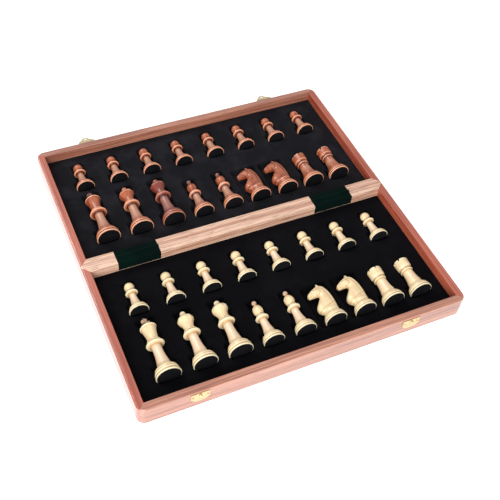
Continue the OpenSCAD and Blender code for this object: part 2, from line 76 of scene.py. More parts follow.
ground = surface("ground", [(-4, -4, 0), (4, -4, 0), (4, 4, 0), (-4, 4, 0)], [(0, 1, 2, 3)])
paper = bpy.data.materials.new("white_paper")
paper.use_nodes = True
tree = paper.node_tree
tree.nodes.clear()
out = tree.nodes.new("ShaderNodeOutputMaterial")
matt = tree.nodes.new("ShaderNodeBsdfDiffuse")
matt.inputs["Color"].default_value = (0.93, 0.93, 0.93, 1)
glow = tree.nodes.new("ShaderNodeEmission")
glow.inputs["Color"].default_value = (1, 1, 1, 1)
glow.inputs["Strength"].default_value = 0.55
clear = tree.nodes.new("ShaderNodeBsdfTransparent")
rays = tree.nodes.new("ShaderNodeLightPath")
facing = tree.nodes.new("ShaderNodeNewGeometry")
both = tree.nodes.new("ShaderNodeAddShader")
seen = tree.nodes.new("ShaderNodeMixShader")
side = tree.nodes.new("ShaderNodeMixShader")
eye = tree.nodes.new("ShaderNodeMath")
eye.operation = "MAXIMUM"
tree.links.new(rays.outputs["Is Camera Ray"], eye.inputs[0])
tree.links.new(rays.outputs["Is Glossy Ray"], eye.inputs[1])
tree.links.new(matt.outputs[0], both.inputs[0])
tree.links.new(glow.outputs[0], both.inputs[1])
tree.links.new(eye.outputs[0], seen.inputs["Fac"])
tree.links.new(matt.outputs[0], seen.inputs[1])
tree.links.new(both.outputs[0], seen.inputs[2])
tree.links.new(facing.outputs["Backfacing"], side.inputs["Fac"])
tree.links.new(seen.outputs[0], side.inputs[1])
tree.links.new(clear.outputs[0], side.inputs[2])
tree.links.new(side.outputs[0], out.inputs["Surface"])
ground.data.materials.append(paper)

# The light and the camera: a white tent gives most of the light. A soft lamp
# behind draws the long highlights on the chessmen, and a wide low one in front
# lights the walls.

world = bpy.data.worlds.new("white_tent")
scene.world = world
world.use_nodes = True
tree = world.node_tree
tree.nodes.clear()
out = tree.nodes.new("ShaderNodeOutputWorld")
rays = tree.nodes.new("ShaderNodeLightPath")
level = tree.nodes.new("ShaderNodeMapRange")
level.inputs["To Min"].default_value = 0.52
level.inputs["To Max"].default_value = 1.0
tent = tree.nodes.new("ShaderNodeBackground")
tent.inputs["Color"].default_value = (1, 1, 1, 1)
tree.links.new(rays.outputs["Is Camera Ray"], level.inputs["Value"])
tree.links.new(level.outputs[0], tent.inputs["Strength"])
tree.links.new(tent.outputs[0], out.inputs["Surface"])


def soft_lamp(name, place, size, power):
    """A square lamp at place, facing the middle of the box."""
    lamp = bpy.data.lights.new(name, "AREA")
    lamp.shape = "SQUARE"
    lamp.size = size
    lamp.energy = power
    holder = bpy.data.objects.new(name, lamp)
    scene.collection.objects.link(holder)
    away = np.array(place, float) / np.linalg.norm(place)
    right = np.cross((0, 0, 1), away)
    right /= np.linalg.norm(right)
    turned = np.eye(4)
    turned[:3, 0], turned[:3, 1], turned[:3, 2] = right, np.cross(away, right), away
    turned[:3, 3] = place
    holder.matrix_world = Matrix(turned.tolist())


soft_lamp("back_lamp", (-0.65, 1.3, 1.6), 0.9, 16)
soft_lamp("front_lamp", (-0.9, -1.5, 0.85), 1.2, 31)

# the photo's own view, as a lens and a place found from the corners of the box
lens = bpy.data.cameras.new("camera")
lens.sensor_width = 36
lens.lens = 58.91
lens.shift_x = 0.0305
lens.shift_y = 0.0036
lens.clip_start = 0.01
camera = bpy.data.objects.new("camera", lens)
scene.collection.objects.link(camera)
scene.camera = camera
camera.matrix_world = Matrix(
    [
        [0.916428, 0.272689, -0.292917, -0.29359],
        [-0.396044, 0.723152, -0.565862, -0.56129],
        [0.057520, 0.634580, 0.770714, 0.73812],
        [0, 0, 0, 1],
    ]
)

# The outer rails: the front rail of the base and the rear rail of the lid, solid
# rosewood, pink from the saw, mitred at the corners, rounded over outside and
# lacquered.


def new_effect(name, inputs, outputs="Color Roughness Height"):
    """A node group whose sockets have the given names: the vector, numbers, or else colours.
    Returns it with its input and output nodes."""
    group = bpy.data.node_groups.new(name, "ShaderNodeTree")
    numbers = "Streaks Pores Shine Gloss Fold Tip Slim Roughness Height".split()
    kinds = {"Vector": "Vector"} | dict.fromkeys(numbers, "Float")
    for way, names in (("INPUT", inputs), ("OUTPUT", outputs)):
        for socket in names.split():
            kind = f"NodeSocket{kinds.get(socket, 'Color')}"
            group.interface.new_socket(socket, in_out=way, socket_type=kind)
    return group, group.nodes.new("NodeGroupInput"), group.nodes.new("NodeGroupOutput")


def wood_grain():
    """Group: long fibres along X of the vector it is given, streaks of two widths and dark pores."""
    group, inlet, outlet = new_effect("wood_grain", "Vector Pale Deep Pore Streaks Pores Shine")
    new, link = group.nodes.new, group.links.new

    def noise(along, across, detail, distortion=0.0):
        stretch = new("ShaderNodeMapping")
        stretch.inputs["Scale"].default_value = (along, across, across)
        field = new("ShaderNodeTexNoise")
        field.inputs["Scale"].default_value = 1.0
        field.inputs["Detail"].default_value = detail
        field.inputs["Distortion"].default_value = distortion
        link(inlet.outputs["Vector"], stretch.inputs["Vector"])
        link(stretch.outputs["Vector"], field.inputs["Vector"])
        return field.outputs["Fac"]

    def spread(value, low, high, to_low=0.0, to_high=1.0):
        ramp = new("ShaderNodeMapRange")
        ramp.interpolation_type = "SMOOTHSTEP"
        for socket, number in zip(
            ("From Min", "From Max", "To Min", "To Max"), (low, high, to_low, to_high)
        ):
            ramp.inputs[socket].default_value = number
        link(value, ramp.inputs["Value"])
        return ramp.outputs["Result"]

    def calc(operation, first, second):
        sum_node = new("ShaderNodeMath")
        sum_node.operation = operation
        for slot, value in enumerate((first, second)):
            if isinstance(value, float):
                sum_node.inputs[slot].default_value = value
            else:
                link(value, sum_node.inputs[slot])
        return sum_node.outputs[0]

    def mix(share, first, second):
        blend = new("ShaderNodeMix")
        blend.data_type = "RGBA"
        for socket, value in (("Factor", share), ("A", first), ("B", second)):
            link(value, blend.inputs[socket])
        return blend.outputs["Result"]

    bands = spread(noise(3.0, 110.0, 2.0, 0.6), 0.36, 0.64)
    lines = spread(noise(13.0, 800.0, 3.0, 0.3), 0.40, 0.60)
    hairs = spread(noise(60.0, 2600.0, 2.0), 0.35, 0.65)
    pores = spread(noise(55.0, 1700.0, 2.0), 0.58, 0.68)
    tone = calc(
        "ADD",
        calc("MULTIPLY", bands, 0.40),
        calc("ADD", calc("MULTIPLY", lines, 0.45), calc("MULTIPLY", hairs, 0.15)),
    )
    tone = calc("MULTIPLY", calc("SUBTRACT", tone, 0.5), inlet.outputs["Streaks"])
    tone = calc("ADD", tone, 0.5)
    pores = calc("MULTIPLY", pores, inlet.outputs["Pores"])
    color = mix(tone, inlet.outputs["Deep"], inlet.outputs["Pale"])
    link(mix(pores, color, inlet.outputs["Pore"]), outlet.inputs["Color"])
    rough = calc("ADD", inlet.outputs["Shine"], calc("MULTIPLY", hairs, 0.08))
    link(calc("ADD", rough, calc("MULTIPLY", pores, 0.15)), outlet.inputs["Roughness"])
    link(calc("SUBTRACT", calc("MULTIPLY", hairs, 0.25), pores), outlet.inputs["Height"])
    return group


grain = wood_grain()


def material_with(name, effect, values, strength, distance):
    """A material whose colour, roughness and relief come from an effect that is laid on the piece's
    own coordinates. Returns it with its shader, and with its coordinates and effect nodes."""
    made = bpy.data.materials.new(name)
    made.use_nodes = True
    new, link = made.node_tree.nodes.new, made.node_tree.links.new
    skin = made.node_tree.nodes["Principled BSDF"]
    place, look, bump = new("ShaderNodeTexCoord"), new("ShaderNodeGroup"), new("ShaderNodeBump")
    look.node_tree = effect
    for socket, value in values.items():
        look.inputs[socket].default_value = (*value, 1) if isinstance(value, tuple) else value
    bump.inputs["Strength"].default_value = strength
    bump.inputs["Distance"].default_value = distance
    link(place.outputs["Object"], look.inputs["Vector"])
    link(look.outputs["Color"], skin.inputs["Base Color"])
    if "Roughness" in look.outputs:
        link(look.outputs["Roughness"], skin.inputs["Roughness"])
    link(look.outputs["Height"], bump.inputs["Height"])
    link(bump.outputs["Normal"], skin.inputs["Normal"])
    return made, skin, place, look


def wooden(name, pale, deep, pore, streaks, pores, shine, along="X", shift=0.0):
    """A lacquered wood whose fibres run along X or Y of the box. shift takes the grain from
    another part of the board."""
    values = {"Pale": pale, "Deep": deep, "Pore": pore, "Streaks": streaks, "Pores": pores, "Shine": shine}
    wood, skin, place, fibres = material_with(name, grain, values, 0.5, 0.00004)
    turn = wood.node_tree.nodes.new("ShaderNodeMapping")
    turn.inputs["Rotation"].default_value = (0, 0, np.pi / 2 if along == "Y" else 0)
    turn.inputs["Location"].default_value = (shift, shift * 0.7, shift * 0.4)
    wood.node_tree.links.new(place.outputs["Object"], turn.inputs["Vector"])
    wood.node_tree.links.new(turn.outputs["Vector"], fibres.inputs["Vector"])
    skin.inputs["Coat Weight"].default_value = 0.8
    skin.inputs["Coat IOR"].default_value = 1.9
    skin.inputs["Coat Roughness"].default_value = 0.14
    return wood


def finish_of(node, material):
    """Gives a CAD node its finished material in place of the plain one."""
    nodes[node].data.materials.clear()
    nodes[node].data.materials.append(material)


pink_rosewood = wooden(
    "pink_rosewood",
    pale=(0.60, 0.26, 0.165),
    deep=(0.31, 0.10, 0.06),
    pore=(0.24, 0.09, 0.07),
    streaks=1.5,
    pores=0.6,
    shine=0.38,
)
finish_of("base_front_rail", pink_rosewood)
finish_of("lid_rear_rail", pink_rosewood)

# The side rails: four short rails of redder rosewood, their fibres running front
# to back. They come to a point at the hinge, where the hinge rails' ends show.

red_rosewood = wooden(
    "red_rosewood",
    pale=(0.62, 0.155, 0.085),
    deep=(0.36, 0.06, 0.026),
    pore=(0.20, 0.05, 0.03),
    streaks=1.4,
    pores=0.5,
    shine=0.36,
    along="Y",
    shift=0.31,
)
for half in ("base", "lid"):
    for hand in ("left", "right"):
        finish_of(f"{half}_{hand}_rail", red_rosewood)

# The hinge rails: the two rails that meet along the fold, of paler rosewood than
# the outer rails, cut back where the hinges and the velvet over them are let in.

hinge_rosewood = wooden(
    "hinge_rosewood",
    pale=(0.95, 0.63, 0.46),
    deep=(0.58, 0.28, 0.18),
    pore=(0.20, 0.09, 0.06),
    streaks=1.9,
    pores=0.8,
    shine=0.40,
    shift=0.17,
)
for half in ("base", "lid"):
    finish_of(f"{half}_hinge_rail", hinge_rosewood)

# The board: outside, each half carries half of the board, a thin maple panel with
# dark veneer squares let into it, and a narrow strip of maple round the squares.

maple = wooden(
    "maple",
    pale=(0.84, 0.68, 0.46),
    deep=(0.70, 0.52, 0.32),
    pore=(0.45, 0.30, 0.18),
    streaks=0.8,
    pores=0.2,
    shine=0.32,
    shift=0.5,
)
dark_veneer = wooden(
    "dark_veneer",
    pale=(0.33, 0.15, 0.09),
    deep=(0.19, 0.075, 0.045),
    pore=(0.07, 0.03, 0.02),
    streaks=1.1,
    pores=0.5,
    shine=0.32,
    along="Y",
    shift=0.7,
)
for half in ("base", "lid"):
    finish_of(f"{half}_panel", maple)
    finish_of(f"{half}_dark_squares", dark_veneer)

# The trays: each half is filled by a formed tray covered in black velvet, with a
# recess for every chessman, a wide one for its foot and a narrower one for its
# head.

velvet_pile, inlet, outlet = new_effect("velvet_pile", "Vector Deep Brushed", "Color Height")
link = velvet_pile.links.new
nap = velvet_pile.nodes.new("ShaderNodeTexNoise")
nap.inputs["Scale"].default_value = 38.0
nap.inputs["Detail"].default_value = 4.0
tufts = velvet_pile.nodes.new("ShaderNodeTexNoise")
tufts.inputs["Scale"].default_value = 2600.0
tufts.inputs["Detail"].default_value = 2.0
lay = velvet_pile.nodes.new("ShaderNodeMapRange")
lay.interpolation_type = "SMOOTHSTEP"
lay.inputs["From Min"].default_value = 0.4
lay.inputs["From Max"].default_value = 0.7
fleck = velvet_pile.nodes.new("ShaderNodeMath")
fleck.operation = "MULTIPLY"
brushing = velvet_pile.nodes.new("ShaderNodeMix")
brushing.data_type = "RGBA"
link(inlet.outputs["Vector"], nap.inputs["Vector"])
link(inlet.outputs["Vector"], tufts.inputs["Vector"])
link(nap.outputs["Fac"], lay.inputs["Value"])
link(lay.outputs["Result"], fleck.inputs[0])
link(tufts.outputs["Fac"], fleck.inputs[1])
link(fleck.outputs[0], brushing.inputs["Factor"])
link(inlet.outputs["Deep"], brushing.inputs["A"])
link(inlet.outputs["Brushed"], brushing.inputs["B"])
link(brushing.outputs["Result"], outlet.inputs["Color"])
link(tufts.outputs["Fac"], outlet.inputs["Height"])


def velvet(name, deep, brushed, sheen, tint):
    """A cut-pile cloth: nearly no gloss, a soft sheen at a low angle and a fine tufted bump."""
    values = {"Deep": deep, "Brushed": brushed}
    cloth, skin, *_ = material_with(name, velvet_pile, values, 0.7, 0.0003)
    skin.inputs["Roughness"].default_value = 0.95
    skin.inputs["Specular IOR Level"].default_value = 0.07
    skin.inputs["Sheen Weight"].default_value = sheen
    skin.inputs["Sheen Roughness"].default_value = 0.45
    skin.inputs["Sheen Tint"].default_value = (*tint, 1)
    return cloth


# Both trays hold the same black velvet; the lid's copy is made lighter, a painted sheen for the lower
# angle it is seen at.
black_velvet = velvet(
    "black_velvet", (0.0022, 0.002, 0.003), (0.006, 0.0055, 0.0075), 0.03, (0.6, 0.62, 0.8)
)
lid_velvet_painted_sheen = velvet(
    "lid_velvet_painted_sheen", (0.009, 0.0086, 0.011), (0.025, 0.024, 0.030), 0.05, (0.6, 0.62, 0.75)
)

CHESSMEN = "king queen_1 queen_2 bishop_1 bishop_2 knight_1 knight_2 rook_1 rook_2".split()
CHESSMEN += [f"pawn_{k}" for k in range(1, 9)]
# of each kind, the foot's share of the height, and the recess above the foot, its
# half width as a share of the foot's radius
SHAPES = {
    "king": (0.23, 0.74),
    "queen": (0.23, 0.74),
    "bishop": (0.26, 0.66),
    "knight": (0.285, None),
    "rook": (0.31, 0.74),
    "pawn": (0.28, 0.66),
}
# the slope by which the heads lie lower than the feet
DIP = 0.022


def seat_of(node):
    """Where a chessman lies: x, y and level of the middle of its base, and its radius and height."""
    low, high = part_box(node)
    radius = (high.z - low.z) / 2
    return high.x - radius, low.y, low.z + radius, radius, high.y - low.y


def recess_depth(x, y, man, side):
    """Level of the tray's velvet under one chessman, whose axis sinks towards its head. Each of the
    two recesses is a lying half pipe, axis - sqrt(radius^2 - x^2), and outside its length and width
    its walls rise four times as fast as the distance from it. A knight's head lies in a flat trough
    instead, its middle 3.2 mm to the left of the foot's."""
    x0, y0, axis, radius, height = seat_of(f"{side}_{man}")
    foot_share, upper = SHAPES[man.split("_")[0]]
    room = 0.0004
    axis = axis - DIP * np.clip(y - y0, 0, height)
    levels = []
    for wide, from_y, to_y in (
        (radius + room, y0 - room, y0 + height * foot_share + room),
        (radius * (upper or 0.5) + room, y0, y0 + height + room),
    ):
        across = np.abs(x - x0)
        past_end = np.maximum(0, np.maximum(from_y - y, y - to_y))
        beyond = past_end + np.maximum(0, across - wide)
        pipe = axis - np.sqrt(np.maximum(0, wide**2 - np.minimum(across, wide) ** 2))
        levels.append(pipe + 4 * beyond)
    if upper is None:
        left, half_width, deep = 0.0032, 0.0143, 0.0070
        past_end = np.maximum(0, np.maximum(y0 - y, y - y0 - height - room))
        levels[1] = axis - deep + 3 * (np.maximum(0, np.abs(x - x0 + left) - half_width) + past_end)
    return np.minimum(*levels)


def formed_tray(name, node, side, body, cloth):
    """A height field over the tray's plan: the flat top, softly lowered by each recess (a smooth
    minimum with 2 mm of rounding), closed by walls and a bottom."""
    low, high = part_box(node)
    xs = np.linspace(low.x, high.x, 371)
    ys = np.linspace(low.y, high.y, 177)
    x, y = np.meshgrid(xs, ys)
    z = np.full_like(x, high.z)
    rounding, floor = 0.002, 0.0002
    for man in CHESSMEN:
        level = recess_depth(x, y, man, side)
        share = np.clip(0.5 + (z - level) / (2 * rounding), 0, 1)
        z = z + (level - z) * share - rounding * share * (1 - share)
    z = np.maximum(z, low.z + floor)
    top = np.stack((x, y, z), -1).reshape(-1, 3)
    index = np.arange(x.size).reshape(x.shape)
    quads = np.stack((index[:-1, :-1], index[:-1, 1:], index[1:, 1:], index[1:, :-1]), -1).reshape(-1, 4)
    rim = np.concatenate((index[0, :-1], index[:-1, -1], index[-1, :0:-1], index[:0:-1, 0]))
    under = top[rim] * (1, 1, 0) + (0, 0, low.z)
    down = np.arange(len(rim)) + len(top)
    walls = np.stack((rim, down, np.roll(down, -1), np.roll(rim, -1)), -1)
    tray = surface(name, np.vstack((top, under)), quads, walls, [down[::-1]])
    smooth = [True] * len(quads) + [False] * (len(walls) + 1)
    tray.data.polygons.foreach_set("use_smooth", smooth)
    tray.data.materials.append(cloth)
    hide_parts(node)
    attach(tray, body)


formed_tray("base_velvet_tray", "base_tray", "light", "base", black_velvet)
formed_tray("lid_velvet_tray", "lid_tray", "dark", "lid", lid_velvet_painted_sheen)

# The hinges: two brass butt hinges, their barrels standing in the fold, let into
# the hinge rails under the velvet and held by three countersunk screws a leaf.


def rubbed_metal():
    """Group: soft smudges and short fine scratches over a polished metal."""
    group, inlet, outlet = new_effect("rubbed_metal", "Vector Clean Dull Gloss")
    new, link = group.nodes.new, group.links.new
    smudge = new("ShaderNodeTexNoise")
    smudge.inputs["Scale"].default_value = 180.0
    smudge.inputs["Detail"].default_value = 3.0
    scratch = new("ShaderNodeTexNoise")
    scratch.inputs["Scale"].default_value = 1.0
    scratch.inputs["Detail"].default_value = 2.0
    stretch = new("ShaderNodeMapping")
    stretch.inputs["Scale"].default_value = (300.0, 4200.0, 4200.0)
    stretch.inputs["Rotation"].default_value = (0.3, 0.2, 0.5)
    mix = new("ShaderNodeMix")
    mix.data_type = "RGBA"
    rough = new("ShaderNodeMath")
    rough.operation = "MULTIPLY_ADD"
    rough.inputs[1].default_value = 0.16
    link(inlet.outputs["Vector"], smudge.inputs["Vector"])
    link(inlet.outputs["Vector"], stretch.inputs["Vector"])
    link(stretch.outputs["Vector"], scratch.inputs["Vector"])
    link(smudge.outputs["Fac"], mix.inputs["Factor"])
    link(inlet.outputs["Clean"], mix.inputs["A"])
    link(inlet.outputs["Dull"], mix.inputs["B"])
    link(smudge.outputs["Fac"], rough.inputs[0])
    link(inlet.outputs["Gloss"], rough.inputs[2])
    link(mix.outputs["Result"], outlet.inputs["Color"])
    link(rough.outputs[0], outlet.inputs["Roughness"])
    link(scratch.outputs["Fac"], outlet.inputs["Height"])
    return group


rubbing = rubbed_metal()


def metal(name, clean, dull, gloss):
    """A solid metal with the smudged, scratched look over it."""
    values = {"Clean": clean, "Dull": dull, "Gloss": gloss}
    made, skin, *_ = material_with(name, rubbing, values, 0.25, 0.00002)
    skin.inputs["Metallic"].default_value = 1.0
    return made


brass = metal("brass", (0.90, 0.72, 0.36), (0.72, 0.52, 0.22), 0.14)
pin_steel = metal("pin_steel", (0.66, 0.62, 0.56), (0.45, 0.42, 0.38), 0.22)
for node in ("base_hinge_leaves", "lid_hinge_leaves", "base_fixings", "lid_fixings"):
    finish_of(node, brass)
finish_of("hinge_pins", pin_steel)

# The velvet strips: dark green velvet glued over each hinge. It runs from one tray
# over both rails to the other tray, and stands up a little over the barrel.

green_velvet = velvet(
    "green_velvet", (0.0004, 0.0055, 0.0042), (0.001, 0.012, 0.009), 0.03, (0.2, 0.8, 0.6)
)


def smooth_all(piece):
    """Shades every face of the piece smoothly."""
    piece.data.polygons.foreach_set("use_smooth", [True] * len(piece.data.polygons))


def tube(rings, around):
    """The numbers of the points of a row of closed rings, each point's next one on its ring, and
    the four-cornered faces between the rings."""
    index = np.arange(rings * around).reshape(rings, around)
    after = np.roll(index, -1, axis=1)
    quads = np.stack((index[:-1], after[:-1], after[1:], index[1:]), -1).reshape(-1, 4)
    return index, after, quads


def velvet_strip(name, left, right):
    """A cross-section carried along X. Its outer line goes up the lid rail's inner face, round the
    edge with a 1 mm arc, along the rim, over the barrel as a bell curve, and down the other side;
    the inner line is the outer one moved in along its normal by the cloth's thickness."""
    edge, foot_z, top_z, round_r, thick = 0.00935, 0.0149, 0.0261, 0.001, 0.0007
    barrel_rise, barrel_half = 0.00265, 0.0021
    turn = np.radians(np.linspace(0, 90, 7))[1:]
    flat_y = np.linspace(edge - round_r, 0, 40)[1:]
    half = np.vstack(
        (
            np.column_stack((np.full(12, edge), np.linspace(foot_z, top_z - round_r, 12))),
            (edge - round_r, top_z - round_r) + round_r * np.column_stack((np.cos(turn), np.sin(turn))),
            np.column_stack((flat_y, top_z + barrel_rise * np.exp(-((flat_y / barrel_half) ** 2)))),
        )
    )
    outer = np.vstack((half, half[-2::-1] * (-1, 1)))
    run = np.gradient(outer, axis=0)
    run /= np.linalg.norm(run, axis=1)[:, None]
    inner = outer + thick * np.column_stack((-run[:, 1], run[:, 0]))
    loop = np.vstack((outer, inner[::-1]))
    xs = np.linspace(left, right, 45)[:, None]
    across, level = loop.T
    ripple = 0.00006 * np.sin(xs * 420) * np.exp(-((across / 0.004) ** 2))
    points = np.stack(np.broadcast_arrays(xs, across, level + ripple), -1)
    index, _, quads = tube(*points.shape[:2])
    first, last = index[0], index[-1]
    k = np.arange(len(outer) - 1)
    ends = np.vstack(
        (
            np.column_stack((first[k], first[-1 - k], first[-2 - k], first[k + 1])),
            np.column_stack((last[k], last[k + 1], last[-2 - k], last[-1 - k])),
        )
    )
    strip = surface(name, points.reshape(-1, 3), quads, ends)
    smooth_all(strip)
    strip.data.materials.append(green_velvet)
    length = np.linalg.norm(np.diff(outer, axis=0), axis=1).sum()
    return strip, (right - left, float(length))


STRIP_HALF = 0.025
for hand, middle in (("left", -0.1255), ("right", 0.1195)):
    strip, cut = velvet_strip(f"{hand}_velvet_strip", middle - STRIP_HALF, middle + STRIP_HALF)
    if hand == "left":
        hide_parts("base_velvet_patches", "lid_velvet_patches")
    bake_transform(strip)

# The clasps: pressed brass, nailed on, a shield with a stud on the front rail, and
# behind a plate with two knuckles, a pin and the flap whose hole goes over the
# stud.

clasp_brass = metal("clasp_brass", (0.84, 0.72, 0.44), (0.64, 0.50, 0.27), 0.24)
for node in ("strike_plates", "hasp_plates", "left_flap", "right_flap"):
    finish_of(node, clasp_brass)
finish_of("clasp_pins", pin_steel)

# The pawns: sixteen, turned on a lathe and waxed, with a foot of ring, step and
# cove, a disc collar and a ball head. A disc of felt is glued under every
# chessman.


def turned_grain():
    """Group: the colour of turned wood. Fine fibres run along Y of the vector, slender parts (Slim)
    get a paler painted sheen that stands in for the lacquer's reflection, the outside of each bend
    (Fold 1) gets a pale painted highlight, and the inside of it (Fold 0) a dark painted shade."""
    sockets = "Vector Fold Tip Slim Body Worn Vein Rubbed Hollow Point"
    group, inlet, outlet = new_effect("turned_grain", sockets)
    new, link = group.nodes.new, group.links.new

    def noise(along, across, detail):
        stretch = new("ShaderNodeMapping")
        stretch.inputs["Scale"].default_value = (across, along, across)
        field = new("ShaderNodeTexNoise")
        field.inputs["Scale"].default_value = 1.0
        field.inputs["Detail"].default_value = detail
        link(inlet.outputs["Vector"], stretch.inputs["Vector"])
        link(stretch.outputs["Vector"], field.inputs["Vector"])
        return field.outputs["Fac"]

    def spread(value, low, high, to_high=1.0):
        ramp = new("ShaderNodeMapRange")
        ramp.interpolation_type = "SMOOTHSTEP"
        ramp.inputs["From Min"].default_value = low
        ramp.inputs["From Max"].default_value = high
        ramp.inputs["To Max"].default_value = to_high
        link(value, ramp.inputs["Value"])
        return ramp.outputs["Result"]

    def mix(share, first, second):
        blend = new("ShaderNodeMix")
        blend.data_type = "RGBA"
        link(share, blend.inputs["Factor"])
        link(first, blend.inputs["A"])
        link(second, blend.inputs["B"])
        return blend.outputs["Result"]

    streaks = noise(24.0, 420.0, 3.0)
    hairs = noise(160.0, 2600.0, 2.0)
    color = mix(spread(streaks, 0.42, 0.66), inlet.outputs["Body"], inlet.outputs["Vein"])
    color = mix(spread(hairs, 0.55, 0.75, 0.35), color, inlet.outputs["Vein"])
    # painted sheen: slender stems are made paler and greyer, in place of the lacquer's reflection of the
    # tent
    color = mix(inlet.outputs["Slim"], color, inlet.outputs["Worn"])
    # painted highlight: the outside of each bend is made paler, in place of the lacquer's lit edges
    color = mix(spread(inlet.outputs["Fold"], 0.62, 0.92), color, inlet.outputs["Rubbed"])
    # painted shade: the inside of each bend and the gouge lines are made dark, where shade falls
    color = mix(spread(inlet.outputs["Fold"], 0.44, 0.12), color, inlet.outputs["Hollow"])
    color = mix(inlet.outputs["Tip"], color, inlet.outputs["Point"])
    link(color, outlet.inputs["Color"])
    rough = new("ShaderNodeMapRange")
    rough.inputs["To Min"].default_value = 0.30
    rough.inputs["To Max"].default_value = 0.46
    link(streaks, rough.inputs["Value"])
    link(rough.outputs["Result"], outlet.inputs["Roughness"])
    link(hairs, outlet.inputs["Height"])
    return group


turned = turned_grain()


def waxed_wood(name, body, worn, vein, rubbed, hollow, point):
    """The wood of one side's chessmen: its painted highlights on edges, painted shade in hollows,
    painted sheen on stems and darker tips are read from the pieces' own "fold", "tip" and "slim"
    attributes."""
    values = {"Body": body, "Worn": worn, "Vein": vein, "Rubbed": rubbed, "Hollow": hollow, "Point": point}
    wood, skin, _, look = material_with(name, turned, values, 0.3, 0.00003)
    for socket in ("fold", "tip", "slim"):
        attribute = wood.node_tree.nodes.new("ShaderNodeAttribute")
        attribute.attribute_name = socket
        wood.node_tree.links.new(attribute.outputs["Fac"], look.inputs[socket.title()])
    skin.inputs["Coat Weight"].default_value = 0.7
    skin.inputs["Coat Roughness"].default_value = 0.26
    return wood


WOODS = {
    "light": waxed_wood(
        "boxwood",
        body=(0.98, 0.76, 0.44),
        worn=(0.93, 0.68, 0.46),
        vein=(0.88, 0.64, 0.38),
        rubbed=(0.98, 0.86, 0.57),
        hollow=(0.70, 0.43, 0.20),
        point=(0.62, 0.40, 0.27),
    ),
    "dark": waxed_wood(
        "dark_rosewood",
        body=(0.50, 0.13, 0.05),
        worn=(0.56, 0.265, 0.165),
        vein=(0.32, 0.065, 0.024),
        rubbed=(0.94, 0.43, 0.25),
        hollow=(0.10, 0.014, 0.007),
        point=(0.22, 0.09, 0.065),
    ),
    "red": waxed_wood(
        "red_stained_wood",
        body=(0.26, 0.045, 0.028),
        worn=(0.36, 0.14, 0.105),
        vein=(0.16, 0.025, 0.016),
        rubbed=(0.58, 0.20, 0.12),
        hollow=(0.05, 0.008, 0.006),
        point=(0.16, 0.04, 0.030),
    ),
}
felt = velvet("felt", (0.005, 0.0052, 0.0066), (0.011, 0.0115, 0.014), 0.03, (0.6, 0.65, 0.8))


def soften(outline, cut=0.00025):
    """Cuts every corner of a line of points once, taking at most cut or 0.3 of a side off it."""
    line = np.asarray(outline, float)
    step = np.diff(line, axis=0)
    length = np.linalg.norm(step, axis=1)[:, None]
    keep = np.minimum(0.3, cut / np.maximum(length, 1e-9))
    inside = np.stack((line[:-1] + step * keep, line[1:] - step * keep), 1).reshape(-1, 2)
    return np.vstack((line[:1], inside[1:-1], line[-1:]))


def folds(line, reach=0.0018):
    """How far each point of a turned outline stands out from the chord of its surroundings: the
    distance from the mean of the line within reach, along the outward normal, as 0.5 +- 0.5."""
    step = np.linalg.norm(np.diff(line, axis=0), axis=1)
    run = np.concatenate(([0], np.cumsum(step)))
    pitch, deepest = 0.00006, 0.0006
    fine = np.arange(0, run[-1], pitch)
    dense = np.column_stack([np.interp(fine, run, line[:, k]) for k in (0, 1)])
    window = int(reach / pitch)
    padded = np.vstack((dense[:1].repeat(window, 0), dense, dense[-1:].repeat(window, 0)))
    total = np.vstack(([[0, 0]], np.cumsum(padded, axis=0)))
    mean = (total[2 * window + 1 :] - total[: -2 * window - 1]) / (2 * window + 1)
    slope = np.gradient(dense, axis=0)
    slope /= np.maximum(np.linalg.norm(slope, axis=1), 1e-12)[:, None]
    out = ((dense - mean) * np.column_stack((slope[:, 1], -slope[:, 0]))).sum(1)
    return np.interp(run, fine, np.clip(0.5 + out / deepest, 0, 1))


def foot(r, f, n):
    """Foot of radius r and height f: a thin rim, r(0.965 + 0.035 cos a), a wide shallow groove, a
    ring of r(0.92 + 0.035 cos a), a quarter-round step, and a cove that falls in to the neck n as
    (1 - s)^1.8."""
    base = 0.0008
    band = np.radians(np.arange(-70, 71, 14))
    step = np.radians(np.arange(0, 91, 10))
    s = np.linspace(0.05, 1, 14)
    return np.vstack(
        (
            [[0, base], [0.975 * r, base]],
            np.column_stack(
                (0.965 * r + 0.035 * r * np.cos(band), base + 0.05 * f * (1 + np.sin(band)))
            ),
            [[0.93 * r, 0.15 * f], [0.905 * r, 0.17 * f], [0.90 * r, 0.21 * f], [0.915 * r, 0.25 * f]],
            np.column_stack(
                (0.92 * r + 0.035 * r * np.cos(band), (0.31 + 0.05 * np.sin(band)) * f)
            ),
            [[0.90 * r, 0.375 * f]],
            np.column_stack(
                (0.74 * r + 0.16 * r * np.cos(step), (0.39 + 0.23 * np.sin(step)) * f)
            ),
            [[0.70 * r, 0.625 * f], [0.69 * r, 0.64 * f]],
            np.column_stack((n + (0.68 * r - n) * (1 - s) ** 1.8, (0.65 + 0.35 * s) * f)),
        )
    )


def disc(r, t, z):
    """Half circle of radius t whose outermost point is at radius r and height z."""
    turn = np.radians(np.arange(-90, 91, 15))
    return np.column_stack((r - t + t * np.cos(turn), z + t * np.sin(turn)))


def stem(p, q, waist):
    """From p to q, drawn in by waist sin(pi s)."""
    s = np.linspace(0.06, 0.94, 16)[:, None]
    return np.asarray(p) + (np.asarray(q) - p) * s - np.hstack((waist * np.sin(np.pi * s), 0 * s))


def ball(r, z, start):
    """Circle of radius r at height z, from the angle start up to the axis."""
    turn = np.radians(np.linspace(start, 90, 18))
    return np.column_stack((r * np.cos(turn), z + r * np.sin(turn)))


def mark(piece, **values):
    """Keeps one number for each point under each of the given names."""
    for attribute, numbers in values.items():
        stored = piece.data.attributes.new(attribute, "FLOAT", "POINT")
        stored.data.foreach_set("value", np.broadcast_to(numbers, len(piece.data.vertices)))


